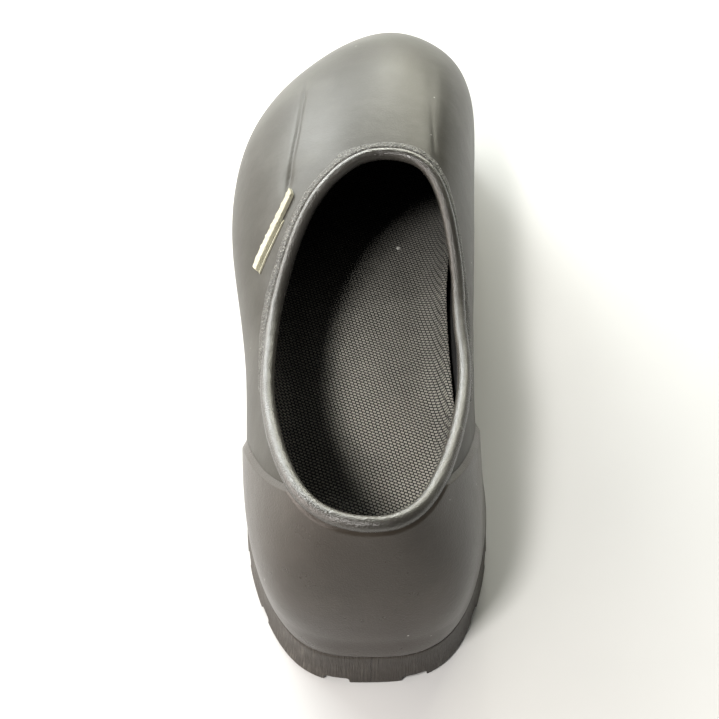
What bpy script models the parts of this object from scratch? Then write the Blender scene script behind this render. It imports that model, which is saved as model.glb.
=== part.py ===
"""Rubber garden clog for a left foot, as separate pieces.

Metres, +Z up, resting on z = 0. The toe points towards -Y, the heel towards +Y, and the outer side of
the foot is +X. The tables below are in millimetres: X across, T forward from the back of the heel,
and Z up from the ground.
"""
import math

import bmesh
import bpy
import numpy as np

for old in list(bpy.data.objects):
    bpy.data.objects.remove(old, do_unlink=True)

MM = 0.001

# Driving dimensions, in millimetres
SOLE_LINE = 20.0          # height of the line where the upper meets the sole
TOE_SPRING = 8.3          # rise of the toe above the ground
SPRING_START = 200.0      # where the sole leaves the ground, from the heel
SPRING_END = 289.0
ARCH_RISE = 3.0           # recess under the waist of the sole
ARCH_PLACE = 103.0
ARCH_REACH = 16.0
GAP = 0.3                 # clearance between touching pieces
UPPER_THICK = 3.0
STIFFENER_THICK = 0.8
LINING_THICK = 1.0
PANEL_THICK = 1.3
PANEL_BEVEL = 0.5         # thickness left at the heel panel's front edges
BEAD_RADIUS = 2.3
BEAD_HEEL_EXTRA = 0.2     # the collar is a little fuller behind the heel
BEAD_INSET = 1.0          # bead centre, inside the upper's outer face
TRIM_WIDTH = 2.7
TRIM_THICK = 0.8
TREAD_DEPTH = 3.6
GROOVE_WIDTH = 6.0
GROOVE_FLARE = 0.8        # a groove's mouth is wider than its roof by this on each side
GROOVE_START = -4.0       # cutters start below the ground
OUTSOLE_REACH = 80.0      # half the length of the cutters that cross the sole
FOOT_EDGE = 1.2           # rounding at the foot of the sole wall
LEDGE_EDGE = 0.8          # rounding at its top
CUP_FLOOR = 7.0
CUP_WALL = 4.0            # sole wall inside the sole line
MIDSOLE_TOP = 17.9
SHANK_SIZE = (20.0, 106.0, 1.5)
SHANK_PLACE = (-2.0, 117.0)
RIB_RISE = 0.3            # pressed rib along the shank
BOARD_THICK = 1.5
FOAM_THICK = 4.0
COVER_THICK = 0.9
FOOTBED_CLEARANCE = 1.0   # between the footbed's edge and the lining
CUP_TOE_SHARE = 0.25      # share of the cup's height that is left round the toe
CUP_FADE = (165.0, 235.0)
HEEL_INSET = 3.5          # the footbed is narrower round the heel, so that it lifts free
HEEL_INSET_FADE = (62.0, 92.0)
WAIST_INSET = 5.0         # and it stands off the wall beside the inner ball
WAIST_PLACE = 157.0
WAIST_REACH = 26.0
BADGE_WIDTH = 5.5
BADGE_THICK = 1.8

# Outer face of the upper: five control rings from the sole line to the rim. Each lists (X, T, Z) at the
# same thirteen stations: heel, outer heel, outer side, outer waist, outer ball, outer toe, outer toe
# corner, toe, inner toe, inner ball, inner waist, inner side, inner heel.
RINGS = np.array([
    [(-3.5, 6, 20), (19.5, 12, 20), (35.5, 45, 20), (40, 105, 20), (50, 192, 20), (43.5, 239.5, 21),
     (19, 271.5, 25), (-17, 286.5, 28), (-41, 272.5, 25), (-49.5, 234, 21), (-39, 125, 20), (-42.5, 50, 20),
     (-28.5, 13.5, 20)],
    [(-3.5, 3, 42), (28.5, 11.5, 42), (40.5, 45, 42), (45, 105, 40), (57.5, 190, 40), (50, 241, 44),
     (22, 275.5, 52), (-19.5, 291.5, 55), (-47.5, 277.5, 52), (-53.5, 233, 44), (-45.5, 125, 40),
     (-42, 50, 42), (-36.5, 14, 42)],
    [(-2.5, 8, 62), (25, 15.5, 60), (36, 50, 56), (42, 100, 58), (52, 172, 62), (43.5, 224, 68),
     (19, 258, 74), (-17, 275.5, 78), (-39.5, 260, 74), (-47, 210, 66), (-44, 120, 58), (-39, 55, 56),
     (-32.5, 17, 60)],
    [(-2, 15, 76), (20, 23, 74), (32, 55, 66), (35, 98, 66), (37, 150, 72), (31, 191, 82),
     (13, 217, 86), (-13, 228, 88), (-31, 216, 86), (-40, 176, 76), (-39, 110, 68), (-36.5, 62, 68),
     (-24.5, 23, 74)],
    [(-2, 18, 86), (17, 28, 83.5), (28.8, 57, 76), (32, 92, 71), (27.6, 126, 74), (18.7, 149.8, 83.5),
     (5.3, 164, 90.5), (-11, 169.2, 92), (-25.2, 163.4, 90.5), (-34.5, 138.5, 79.5), (-36.2, 103, 71),
     (-33, 60, 75.5), (-20.5, 27, 84)],
])
BULGE_RING = 1            # the ring whose chords set how the stations are spaced
TOE_STATION = 7

# Front edges of the heel panel: how far round each side they stand, at rising shares of the wall
EDGE_LEVELS = (0.0, 0.35, 0.5, 0.6, 0.7, 0.8, 0.9, 1.0)
EDGE_OUTER = (0.160, 0.138, 0.122, 0.110, 0.098, 0.0855, 0.0725, 0.060)
EDGE_INNER = (0.168, 0.142, 0.125, 0.114, 0.103, 0.091, 0.0785, 0.066)

SIDE_COLUMNS = 32         # columns of faces on each side, heel to toe
PANEL_COLUMNS = 8         # of which the heel panel takes these
COLUMNS = 2 * SIDE_COLUMNS
WALL_ROWS = (0.0, 0.08, 0.18, 0.29, 0.41, 0.53, 0.65, 0.76, 0.86, 0.94, 1.0)
BEAD_SIDES = 8
TRIM_COLUMNS = (12, 53)
PUFF_COLUMNS = (25, 39)
PUFF_ROWS = 7
BADGE_PATH = ((0.3765, 0.915), (0.332, 0.88), (0.277, 0.765))     # place and level: front, middle, back

# Footbed's upper face: shares of the outline with heights over its flat middle, then heights over the
# sole line with insets from the edge, and how much of a shift inwards is also a shift upwards
FLAT_PROFILE = ((0.35, 0.0), (0.66, 0.0), (0.78, 0.5))
CUP_PROFILE = ((7.0, 4.4, 0.6), (10.0, 2.6, 0.4), (12.6, 1.9, 0.2))
RIM_INSETS = (0.4, 0.8)    # outer edge of the cup's rim, at the foam and at the top of the cover
UNDER_SHARE = 0.93         # the foam's flat underside ends here, and its side starts higher up
UNDER_LIFT = 0.2
SIDE_START = 2.5

# Sole wall, outside the sole line: at the forefoot, and the extra at the heel
LEDGE_OUT = 1.2
LEDGE_HEEL_EXTRA = 2.1
FOOT_OUT = 2.5
FOOT_HEEL_EXTRA = 2.4
HEEL_FADE = (40.0, 100.0)

FLAT_SHARES = (0.35, 0.75)
HEEL_CENTRE = 42.0        # the line that the flat layers close on runs between these
TOE_CENTRE = 236.0
HEEL_GROOVES = ((8.0, 9.0), (-19.0, 9.0))
HEEL_GROOVE_END = 24.0
CROSS_GROOVES = (26.0, 48.0, 70.0, 130.0, 152.0, 174.0, 196.0, 218.0, 240.0, 260.0)
CENTRE_GROOVE = (-2.0, 133.0, 262.0)
CENTRE_STEPS = 6


def closed_spline(points, knots, place):
    """Smooth closed curve through points, at places 0 to 1 round it."""
    count = len(points)
    steps = np.diff(knots)
    matrix = np.zeros((count, count))
    right = np.zeros((count, points.shape[1]))
    for i in range(count):
        before = steps[i - 1]
        after = steps[i]
        matrix[i, (i - 1) % count] += before
        matrix[i, i] += 2.0 * (before + after)
        matrix[i, (i + 1) % count] += after
        slope_after = (points[(i + 1) % count] - points[i]) / after
        slope_before = (points[i] - points[i - 1]) / before
        right[i] = 6.0 * (slope_after - slope_before)
    bend = np.linalg.solve(matrix, right)
    place = np.asarray(place) % 1.0
    i = np.clip(np.searchsorted(knots, place, side="right") - 1, 0, count - 1)
    j = (i + 1) % count
    step = steps[i][..., None]
    ahead = (knots[i + 1] - place)[..., None]
    behind = (place - knots[i])[..., None]
    curve = (bend[i] * ahead ** 3 + bend[j] * behind ** 3) / (6.0 * step)
    curve = curve + (points[i] / step - bend[i] * step / 6.0) * ahead
    return curve + (points[j] / step - bend[j] * step / 6.0) * behind


def station_knots():
    """Places of the stations, by chord length round the widest ring."""
    ring = RINGS[BULGE_RING]
    chords = np.linalg.norm(np.roll(ring, -1, axis=0) - ring, axis=1)
    knots = np.concatenate([[0.0], np.cumsum(chords)])
    return knots / knots[-1]


KNOTS = station_knots()
TOE_PLACE = KNOTS[TOE_STATION]


def surface(place, level):
    """Outer face of the upper, at places round it and height shares 0 to 1."""
    place, level = np.broadcast_arrays(place, level)
    total = np.zeros(place.shape + (3,))
    degree = len(RINGS) - 1
    for k, ring in enumerate(RINGS):
        weight = math.comb(degree, k) * level ** k * (1.0 - level) ** (degree - k)
        total += weight[..., None] * closed_spline(ring, KNOTS, place)
    return total


def outward(place, level):
    """Unit normals of the outer face, pointing out of the shoe."""
    place, level = np.broadcast_arrays(place, level)
    step = 1e-4
    low = np.clip(level - step, 0.0, 1.0)
    high = np.clip(level + step, 0.0, 1.0)
    along = surface(place + step, level) - surface(place - step, level)
    rise = surface(place, high) - surface(place, low)
    normal = np.cross(rise, along)
    return -normal / np.linalg.norm(normal, axis=-1, keepdims=True)


def column_places(level):
    """Place of every column at one level: the heel panel's front edges fall on whole columns."""
    outer = np.interp(level, EDGE_LEVELS, EDGE_OUTER)
    inner = np.interp(level, EDGE_LEVELS, EDGE_INNER)
    free = SIDE_COLUMNS - PANEL_COLUMNS
    parts = [
        np.linspace(0.0, outer, PANEL_COLUMNS, endpoint=False),
        np.linspace(outer, TOE_PLACE, free, endpoint=False),
        np.linspace(TOE_PLACE, 1.0 - inner, free, endpoint=False),
        np.linspace(1.0 - inner, 1.0, PANEL_COLUMNS, endpoint=False),
    ]
    return np.concatenate(parts)


def spring(t):
    """Rise of the sole towards the toe."""
    share = np.clip((np.asarray(t) - SPRING_START) / (SPRING_END - SPRING_START), 0.0, None)
    return TOE_SPRING * share ** 2.2


def heel_share(t):
    """1 round the heel, falling to 0 at the waist."""
    share = np.clip((HEEL_FADE[1] - t) / (HEEL_FADE[1] - HEEL_FADE[0]), 0.0, 1.0)
    return share * share * (3.0 - 2.0 * share)


def below_rim(place, distance):
    """Place and level of the points a distance below the rim, going square to it."""
    steps = 4
    reach = np.asarray(distance) / steps
    level = np.ones_like(place)
    nudge = 0.002
    for _ in range(steps):
        along = (surface(place + nudge, level) - surface(place - nudge, level)) / (2.0 * nudge)
        rise = (surface(place, level) - surface(place, level - nudge)) / nudge
        length = np.linalg.norm(along, axis=-1)
        skew = (rise * along).sum(axis=-1) / length
        square = np.sqrt((rise ** 2).sum(axis=-1) - skew ** 2)
        level = level - reach / square
        place = place + reach / square * skew / length
    return place, level


RIM_PLACES = column_places(1.0)
RIM_T = surface(RIM_PLACES, np.ones(COLUMNS))[:, 1]
BEAD_RADII = BEAD_RADIUS + BEAD_HEEL_EXTRA * heel_share(RIM_T)


def wall_level(share, below=0.0):
    """Level of each column at a share of the height up to the bead, less a distance below it."""
    top = below_rim(RIM_PLACES, BEAD_RADII + 2.0 * GAP + below)[1]
    return share * top


def wall_row(share, offset, columns, below=0.0):
    """One row of points of the wall, moved out of the shoe by offset."""
    level = wall_level(share, below)
    place = np.array([column_places(level[i])[i] for i in columns])
    level = level[list(columns)]
    point = surface(place, level)
    move = outward(place, level)
    point = point + move * np.asarray(offset)[..., None]
    if share == 0.0:
        point[:, 2] = SOLE_LINE + spring(point[:, 1])
    return point


def wall_layer(offset, shares, columns, below=0.0):
    """Rows of points of the wall at one offset, from the sole line up."""
    return [wall_row(share, offset, columns, below) for share in shares]


def sole_outline(offset):
    """Plan outline of the sole line, moved outwards by offset."""
    place = column_places(0.0)
    level = np.zeros(COLUMNS)
    point = surface(place, level)[:, :2]
    normal = outward(place, level)[:, :2]
    normal = normal / np.linalg.norm(normal, axis=1, keepdims=True)
    return point + normal * np.asarray(offset)[..., None]


def flat_ring(outline, share, height):
    """One ring of a flat layer: the outline drawn towards the line that the layer closes on."""
    centre_t = np.clip(outline[:, 1], HEEL_CENTRE, TOE_CENTRE)
    mirror = outline[(-np.arange(COLUMNS)) % COLUMNS]
    centre_x = 0.5 * (outline[:, 0] + mirror[:, 0])
    centre = np.column_stack([centre_x, centre_t])
    plan = centre + (outline - centre) * share
    rise = np.asarray(height(plan[:, 1]))
    return np.column_stack([plan, np.broadcast_to(rise, COLUMNS)])


def level_height(height):
    """Height rule of a layer that follows the toe spring."""
    return lambda t: height + spring(t)


def finish(name, points, faces, colour, roughness, parent=None):
    """Mesh object in metres, in the part's own frame or its parent's, with its own material."""
    world = np.column_stack([points[:, 0] - CENTRE_X, CENTRE_T - points[:, 1], points[:, 2]]) * MM
    if parent is not None:
        world = world - np.array(parent.location)
    mesh = bpy.data.meshes.new(name)
    mesh.from_pydata(world.tolist(), [], faces)
    solid = bmesh.new()
    solid.from_mesh(mesh)
    bmesh.ops.recalc_face_normals(solid, faces=solid.faces)
    bmesh.ops.triangulate(solid, faces=solid.faces)
    solid.to_mesh(mesh)
    solid.free()
    piece = bpy.data.objects.new(name, mesh)
    piece.parent = parent
    bpy.context.collection.objects.link(piece)
    if colour is None:
        return piece
    for polygon in mesh.polygons:
        polygon.use_smooth = True
    material = bpy.data.materials.new(name + "_material")
    material.use_nodes = True
    shader = material.node_tree.nodes["Principled BSDF"]
    shader.inputs["Base Color"].default_value = (*colour, 1.0)
    shader.inputs["Roughness"].default_value = roughness
    mesh.materials.append(material)
    return piece


def ring_faces(rows, columns, closed_rows, closed_columns):
    """Quads of a grid of points, wrapped in either direction."""
    faces = []
    for r in range(rows if closed_rows else rows - 1):
        for c in range(columns if closed_columns else columns - 1):
            r2 = (r + 1) % rows
            c2 = (c + 1) % columns
            faces.append((r * columns + c, r * columns + c2, r2 * columns + c2, r2 * columns + c))
    return faces


def wall_solid(name, outer, inner, closed, colour, roughness):
    """Solid between an outer and an inner layer of wall rows: a full ring, or a patch with two ends."""
    rows = list(outer) + list(inner)[::-1]
    count = len(rows)
    columns = len(rows[0])
    faces = ring_faces(count, columns, True, closed)
    if not closed:
        for c in (0, columns - 1):
            for r in range(count // 2 - 1):
                corners = (r, r + 1, count - 2 - r, count - 1 - r)
                faces.append(tuple(k * columns + c for k in corners))
    return finish(name, np.vstack(rows), faces, colour, roughness)


def stack_solid(name, rings, colour, roughness, parent=None):
    """Solid of closed rings, with its first and last ring capped by strips from side to side."""
    count = len(rings)
    faces = ring_faces(count, COLUMNS, False, True)
    for base in (0, (count - 1) * COLUMNS):
        faces.append((base, base + 1, base + COLUMNS - 1))
        for i in range(1, SIDE_COLUMNS - 1):
            faces.append((base + i, base + i + 1, base + COLUMNS - i - 1, base + COLUMNS - i))
        faces.append((base + SIDE_COLUMNS - 1, base + SIDE_COLUMNS, base + SIDE_COLUMNS + 1))
    return finish(name, np.vstack(rings), faces, colour, roughness, parent)


def plate(name, offset, bottom, top, colour, roughness):
    """Flat layer of even thickness that follows the toe spring."""
    outline = sole_outline(offset)
    low = level_height(bottom)
    high = level_height(top)
    rings = [flat_ring(outline, share, low) for share in FLAT_SHARES]
    rings.append(flat_ring(outline, 1.0, low))
    rings.append(flat_ring(outline, 1.0, high))
    rings += [flat_ring(outline, share, high) for share in FLAT_SHARES[::-1]]
    return stack_solid(name, rings, colour, roughness)


def box_points(x_range, t_range, z_range, flare=0.0):
    """Corners of a block whose lower face is wider than its upper one by flare on each side."""
    points = []
    for z, grow in ((z_range[0], flare), (z_range[1], 0.0)):
        points.append((x_range[0] - grow, t_range[0] - grow, z))
        points.append((x_range[1] + grow, t_range[0] - grow, z))
        points.append((x_range[1] + grow, t_range[1] + grow, z))
        points.append((x_range[0] - grow, t_range[1] + grow, z))
    return points


BOX_FACES = ((0, 1, 2, 3), (4, 5, 6, 7), (0, 1, 5, 4), (1, 2, 6, 5), (2, 3, 7, 6), (3, 0, 4, 7))


def cut(piece, name, boxes):
    """Cut a set of separate blocks out of a piece."""
    points = []
    faces = []
    for corners in boxes:
        faces += [tuple(len(points) + k for k in face) for face in BOX_FACES]
        points += corners
    tool = finish(name, np.array(points, dtype=float), faces, None, 0.0)
    modifier = piece.modifiers.new(name, "BOOLEAN")
    modifier.operation = "DIFFERENCE"
    modifier.solver = "EXACT"
    modifier.object = tool
    bpy.context.view_layer.update()
    evaluated = piece.evaluated_get(bpy.context.evaluated_depsgraph_get())
    result = bpy.data.meshes.new_from_object(evaluated)
    piece.modifiers.clear()
    piece.data = result
    bpy.data.objects.remove(tool, do_unlink=True)


def build_upper():
    columns = range(COLUMNS)
    outer = wall_layer(0.0, WALL_ROWS, columns)
    inner = wall_layer(-UPPER_THICK, WALL_ROWS, columns)
    wall_solid("upper_shell", outer, inner, True, (0.085, 0.078, 0.066), 0.5)


def build_lining():
    columns = range(COLUMNS)
    start = UPPER_THICK + STIFFENER_THICK + 2.0 * GAP
    outer = wall_layer(-start, WALL_ROWS, columns, 1.0)
    inner = wall_layer(-start - LINING_THICK, WALL_ROWS, columns, 1.0)
    wall_solid("lining", outer, inner, True, (0.02, 0.02, 0.022), 0.95)


def build_stiffener(name, columns, rows):
    start = UPPER_THICK + GAP
    outer = wall_layer(-start, WALL_ROWS[:rows], columns)
    inner = wall_layer(-start - STIFFENER_THICK, WALL_ROWS[:rows], columns)
    wall_solid(name, outer, inner, False, (0.35, 0.32, 0.27), 0.7)


def build_heel_panel():
    columns = [c % COLUMNS for c in range(-PANEL_COLUMNS, PANEL_COLUMNS + 1)]
    thick = np.full(len(columns), PANEL_THICK)
    thick[0] = PANEL_BEVEL
    thick[-1] = PANEL_BEVEL
    outer = wall_layer(GAP + thick, WALL_ROWS, columns)
    inner = wall_layer(GAP, WALL_ROWS, columns)
    wall_solid("heel_panel", outer, inner, False, (0.085, 0.078, 0.066), 0.45)


def build_bead():
    """Rolled edge round the opening, swept along the rim."""
    place = RIM_PLACES
    one = np.ones(COLUMNS)
    normal = outward(place, one)
    centre = surface(place, one) - normal * BEAD_INSET
    along = np.roll(centre, -1, axis=0) - np.roll(centre, 1, axis=0)
    side = np.cross(along, normal)
    side = side / np.linalg.norm(side, axis=1, keepdims=True)
    across = np.cross(side, along)
    across = across / np.linalg.norm(across, axis=1, keepdims=True)
    rows = []
    for k in range(BEAD_SIDES):
        angle = 2.0 * math.pi * k / BEAD_SIDES
        arm = math.cos(angle) * across + math.sin(angle) * side
        rows.append(centre + arm * BEAD_RADII[:, None])
    faces = ring_faces(BEAD_SIDES, COLUMNS, True, True)
    finish("collar_bead", np.vstack(rows), faces, (0.09, 0.085, 0.075), 0.3)


def build_trim():
    """Grained strip against the outside of the bead, from one side of the heel round to the other."""
    columns = list(range(TRIM_COLUMNS[0], TRIM_COLUMNS[1] + 1))
    layers = []
    for offset in (GAP + TRIM_THICK, GAP):
        rows = []
        for share in (1.0, 0.5, 0.0):
            reach = BEAD_RADII[columns] + GAP + share * TRIM_WIDTH
            place, level = below_rim(RIM_PLACES[columns], reach)
            rows.append(surface(place, level) + outward(place, level) * offset)
        layers.append(rows)
    wall_solid("collar_trim", layers[0], layers[1], False, (0.12, 0.115, 0.105), 0.7)


def build_badge():
    """Plain raised bar on the outer side of the vamp."""
    steps = 9
    front, centre, back = np.array(BADGE_PATH)
    share = np.linspace(0.0, 1.0, steps)[:, None]
    middle = front * (1.0 - share) * (1.0 - 2.0 * share) + centre * 4.0 * share * (1.0 - share)
    middle = middle + back * share * (2.0 * share - 1.0)
    nudge = 0.02
    rise = surface(middle[:, 0], middle[:, 1]) - surface(middle[:, 0], middle[:, 1] - nudge)
    half = 0.5 * BADGE_WIDTH * nudge / np.linalg.norm(rise, axis=1)
    layers = []
    for offset in (2.0 * GAP + BADGE_THICK, 2.0 * GAP):
        rows = []
        for side in (-1.0, 0.0, 1.0):
            level = middle[:, 1] + side * half
            rows.append(surface(middle[:, 0], level) + outward(middle[:, 0], level) * offset)
        layers.append(rows)
    wall_solid("side_badge", layers[0], layers[1], False, (0.8, 0.79, 0.72), 0.5)


def build_outsole():
    """Moulded rubber cup: tread, floor and side wall, with the ledge that the upper stands on."""
    heel = heel_share(sole_outline(0.0)[:, 1])
    foot_out = FOOT_OUT + FOOT_HEEL_EXTRA * heel
    ledge_out = LEDGE_OUT + LEDGE_HEEL_EXTRA * heel
    foot = sole_outline(foot_out)
    foot_edge = sole_outline(foot_out - FOOT_EDGE)
    waist = sole_outline(0.5 * (foot_out + ledge_out) - GAP)
    ledge = sole_outline(ledge_out)
    ledge_edge = sole_outline(ledge_out - LEDGE_EDGE)
    cup = sole_outline(-CUP_WALL)
    seat = SOLE_LINE - GAP

    def ground(t):
        return spring(t) + ARCH_RISE * np.exp(-((t - ARCH_PLACE) / ARCH_REACH) ** 2)

    rings = [flat_ring(foot_edge, share, ground) for share in FLAT_SHARES]
    rings.append(flat_ring(foot_edge, 1.0, ground))
    rings.append(flat_ring(foot, 1.0, lambda t: ground(t) + FOOT_EDGE))
    rings.append(flat_ring(waist, 1.0, level_height(0.5 * SOLE_LINE)))
    rings.append(flat_ring(ledge, 1.0, level_height(seat - LEDGE_EDGE)))
    rings.append(flat_ring(ledge_edge, 1.0, level_height(seat)))
    rings.append(flat_ring(cup, 1.0, level_height(seat)))
    rings.append(flat_ring(cup, 1.0, level_height(CUP_FLOOR)))
    rings += [flat_ring(cup, share, level_height(CUP_FLOOR)) for share in FLAT_SHARES[::-1]]
    outsole = stack_solid("outsole", rings, (0.06, 0.055, 0.045), 0.6)

    half = 0.5 * GROOVE_WIDTH
    across = (-OUTSOLE_REACH, OUTSOLE_REACH)
    cross = []
    for t in CROSS_GROOVES:
        roof = TREAD_DEPTH + float(spring(t))
        cross.append(box_points(across, (t - half, t + half), (GROOVE_START, roof), GROOVE_FLARE))
    cut(outsole, "cross_grooves", cross)
    rear = []
    for x, width in HEEL_GROOVES:
        sides = (x - 0.5 * width, x + 0.5 * width)
        lengthwise = (-HEEL_GROOVE_END, HEEL_GROOVE_END)
        rear.append(box_points(sides, lengthwise, (GROOVE_START, TREAD_DEPTH), GROOVE_FLARE))
    cut(outsole, "heel_grooves", rear)
    # The centre groove follows the toe spring in short lengths, cut in two sets that overlap end to end
    x, start, end = CENTRE_GROOVE
    stops = np.linspace(start, end, CENTRE_STEPS + 1)
    for first in (0, 1):
        lengths = []
        for t0, t1 in list(zip(stops[:-1], stops[1:]))[first::2]:
            roof = TREAD_DEPTH + float(spring(0.5 * (t0 + t1)))
            lengths.append(box_points((x - half, x + half), (t0 - 1.0, t1 + 1.0), (GROOVE_START, roof)))
        cut(outsole, "centre_groove", lengths)


def cup_ring(rise, inset):
    """Ring of the footbed's cup, by its height over the sole line and its distance inside the clearance.

    Round the toe the heights draw together towards the foam's flat thickness.
    """
    start = UPPER_THICK + STIFFENER_THICK + LINING_THICK + 2.0 * GAP + FOOTBED_CLEARANCE
    place = column_places(0.0)
    base = surface(place, np.zeros(COLUMNS))
    fade = np.clip((base[:, 1] - CUP_FADE[0]) / (CUP_FADE[1] - CUP_FADE[0]), 0.0, 1.0)
    height = FOAM_THICK + (rise - FOAM_THICK) * (1.0 - (1.0 - CUP_TOE_SHARE) * fade)
    speed = (len(RINGS) - 1) * (RINGS[1, :, 2] - RINGS[0, :, 2]).mean()
    level = height / speed
    inner_side = place > TOE_PLACE
    waist = WAIST_INSET * np.exp(-((base[:, 1] - WAIST_PLACE) / WAIST_REACH) ** 2) * inner_side
    near = np.clip((HEEL_INSET_FADE[1] - base[:, 1]) / (HEEL_INSET_FADE[1] - HEEL_INSET_FADE[0]), 0.0, 1.0)
    heel = HEEL_INSET * near * near * (3.0 - 2.0 * near)
    point = surface(place, level) - outward(place, level) * (start + inset + waist + heel)[:, None]
    point[:, 2] = SOLE_LINE + height + spring(point[:, 1])
    return point


def build_footbed():
    """Loose cupped footbed that lifts about its toe end: a foam body under a woven cover."""
    outline = cup_ring(0.0, 0.0)[:, :2]
    top = SOLE_LINE + FOAM_THICK
    toe = outline[SIDE_COLUMNS]
    hinge = bpy.data.objects.new("footbed_hinge", None)
    hinge.location = (0.0, (CENTRE_T - toe[1]) * MM, (SOLE_LINE + float(spring(toe[1]))) * MM)
    bpy.context.collection.objects.link(hinge)

    def layer(shift):
        """The foam's upper face, moved into the shoe by shift."""
        flat = [flat_ring(outline, share, level_height(top + rise + shift)) for share, rise in FLAT_PROFILE]
        cup = [cup_ring(rise + k * shift, inset + shift) for rise, inset, k in CUP_PROFILE]
        return flat + cup

    under = [flat_ring(outline, share, level_height(SOLE_LINE)) for share in FLAT_SHARES]
    under.append(flat_ring(outline, UNDER_SHARE, level_height(SOLE_LINE + UNDER_LIFT)))
    under.append(cup_ring(SIDE_START, 0.0))
    rim_height = CUP_PROFILE[-1][0]
    rim = [cup_ring(rim_height, RIM_INSETS[0])]
    foam = under + rim + layer(0.0)[::-1]
    stack_solid("footbed_foam", foam, (0.05, 0.05, 0.055), 0.9, hinge)
    edge = [cup_ring(rim_height + GAP, RIM_INSETS[0]), cup_ring(rim_height + COVER_THICK, RIM_INSETS[1])]
    cover = layer(GAP) + edge + layer(GAP + COVER_THICK)[::-1]
    stack_solid("footbed_cover", cover, (0.035, 0.035, 0.04), 0.95, hinge)


def build_sole_layers():
    inside = -CUP_WALL - GAP
    midsole = plate("midsole", inside, CUP_FLOOR + GAP, MIDSOLE_TOP, (0.2, 0.2, 0.2), 0.9)
    width, length, thick = SHANK_SIZE
    x, t = SHANK_PLACE
    half_x = 0.5 * width + GAP
    half_t = 0.5 * length + GAP
    floor = MIDSOLE_TOP - thick - 0.5
    slot = box_points((x - half_x, x + half_x), (t - half_t, t + half_t), (floor, MIDSOLE_TOP + 2.0))
    cut(midsole, "shank_slot", [slot])
    board = MIDSOLE_TOP + GAP
    plate("insole_board", inside, board, board + BOARD_THICK, (0.42, 0.36, 0.27), 0.85)

    # Shank: a thin steel strip with a pressed rib along it and rounded ends
    stations = 13
    along = np.linspace(-0.5 * length, 0.5 * length, stations)
    end = 0.5 * length - np.abs(along)
    corner = 0.25 * width
    beyond = np.clip(corner - end, 0.0, corner)
    narrow = corner - np.sqrt(corner ** 2 - beyond ** 2)
    low = floor + GAP
    shares = (-1.0, -0.3, -0.15, 0.15, 0.3, 1.0)
    ribs = (0.0, 0.0, RIB_RISE, RIB_RISE, 0.0, 0.0)
    upper_rows = []
    lower_rows = []
    for share, rib in zip(shares, ribs):
        across = x + share * (0.5 * width - narrow)
        height = np.full(stations, low + rib)
        upper_rows.append(np.column_stack([across, t + along, height + thick - RIB_RISE]))
        lower_rows.append(np.column_stack([across, t + along, height]))
    wall_solid("shank", upper_rows, lower_rows, False, (0.6, 0.6, 0.62), 0.35)


def part_centre():
    """Middle of the whole clog in plan, so that the part's box is centred on the origin."""
    heel = heel_share(sole_outline(0.0)[:, 1])
    foot = sole_outline(FOOT_OUT + FOOT_HEEL_EXTRA * heel)
    points = [foot]
    for share in WALL_ROWS:
        points.append(wall_row(share, 0.0, range(COLUMNS))[:, :2])
    points = np.vstack(points)
    middle = 0.5 * (points.min(axis=0) + points.max(axis=0))
    return middle


CENTRE_X, CENTRE_T = part_centre()
build_upper()
build_lining()
build_stiffener("heel_stiffener", [c % COLUMNS for c in range(-PANEL_COLUMNS, PANEL_COLUMNS + 1)], 8)
build_stiffener("toe_puff", range(PUFF_COLUMNS[0], PUFF_COLUMNS[1] + 1), PUFF_ROWS)
build_heel_panel()
build_bead()
build_trim()
build_badge()
build_outsole()
build_sole_layers()
build_footbed()
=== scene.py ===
"""Looks of the rubber garden clog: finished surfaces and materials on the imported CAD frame.

The wall tables are in millimetres, as in the CAD source: X across, T forward from the back of the heel,
Z up from the ground. Every mesh is moved into the frame's metres by place_mesh().
"""

import math

import bmesh
import bpy
import numpy as np
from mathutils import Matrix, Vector


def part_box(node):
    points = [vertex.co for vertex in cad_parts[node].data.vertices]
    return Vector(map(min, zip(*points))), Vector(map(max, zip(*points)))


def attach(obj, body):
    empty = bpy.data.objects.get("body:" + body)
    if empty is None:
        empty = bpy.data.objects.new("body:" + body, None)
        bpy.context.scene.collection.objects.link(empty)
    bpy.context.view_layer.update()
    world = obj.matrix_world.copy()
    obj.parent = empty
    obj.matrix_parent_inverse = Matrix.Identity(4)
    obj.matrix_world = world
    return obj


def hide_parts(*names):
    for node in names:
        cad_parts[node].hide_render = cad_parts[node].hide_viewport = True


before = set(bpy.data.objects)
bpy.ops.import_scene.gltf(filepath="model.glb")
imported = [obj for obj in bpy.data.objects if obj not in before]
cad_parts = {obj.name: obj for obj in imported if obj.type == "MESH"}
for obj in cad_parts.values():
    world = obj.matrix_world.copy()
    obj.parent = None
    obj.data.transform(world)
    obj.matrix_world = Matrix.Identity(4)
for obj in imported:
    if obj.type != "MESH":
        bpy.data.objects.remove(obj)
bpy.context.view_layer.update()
MM = 0.001

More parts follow.
